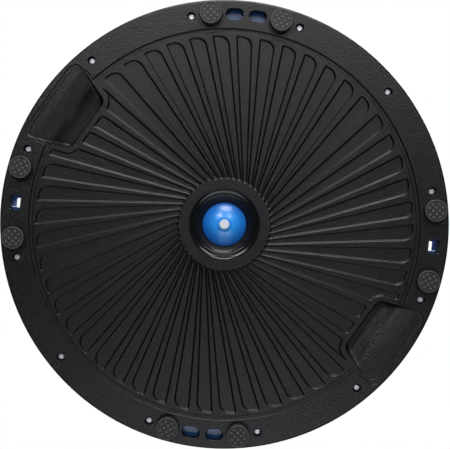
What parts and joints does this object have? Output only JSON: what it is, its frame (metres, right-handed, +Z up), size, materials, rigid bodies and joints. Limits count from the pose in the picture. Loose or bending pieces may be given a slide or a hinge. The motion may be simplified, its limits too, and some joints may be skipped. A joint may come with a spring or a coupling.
{
  "type": "balance dome trainer",
  "caption": "Air-filled half dome clamped to a round rigid platform with ribbed underside, hand grips, band slots, rubber feet and a pull-out valve plug.",
  "frame": {"origin": "centre of the platform on the floor plane, under the rubber feet", "axes": "+Z up through the dome's crown; Y through the two pairs of band slots; X through the two clip slots"},
  "size_m": [0.5799, 0.58, 0.2151],
  "materials": {
    "platform_plastic": "fine-grained black moulded plastic, smooth and glossy in the valve well",
    "ring_plastic": "satin blue moulded plastic",
    "dome_pvc": "glossy blue soft PVC",
    "plug_plastic": "white, smooth",
    "foot_rubber": "dull dark grey rubber with raised dots",
    "screw_steel": "bright zinc-plated steel with a cross recess"
  },
  "bodies": {
    "trainer": {"base_platform": "platform_plastic", "clamp_ring": "ring_plastic", "air_dome": "dome_pvc", "valve_seat": "dome_pvc", "foot_1": "foot_rubber", "foot_2": "foot_rubber", "foot_3": "foot_rubber", "foot_4": "foot_rubber", "foot_5": "foot_rubber", "foot_6": "foot_rubber", "foot_7": "foot_rubber", "foot_8": "foot_rubber", "screw_1": "screw_steel", "screw_2": "screw_steel", "screw_3": "screw_steel", "screw_4": "screw_steel", "screw_5": "screw_steel", "screw_6": "screw_steel", "screw_7": "screw_steel", "screw_8": "screw_steel", "screw_9": "screw_steel", "screw_10": "screw_steel", "screw_11": "screw_steel", "screw_12": "screw_steel"},
    "plug": {"valve_plug": "plug_plastic"}
  },
  "joints": [
    {"name": "plug_pull", "type": "slide", "parent": "trainer", "child": "plug", "axis": [0, 0, -1], "range_m": [0, 0.025]}
  ]
}
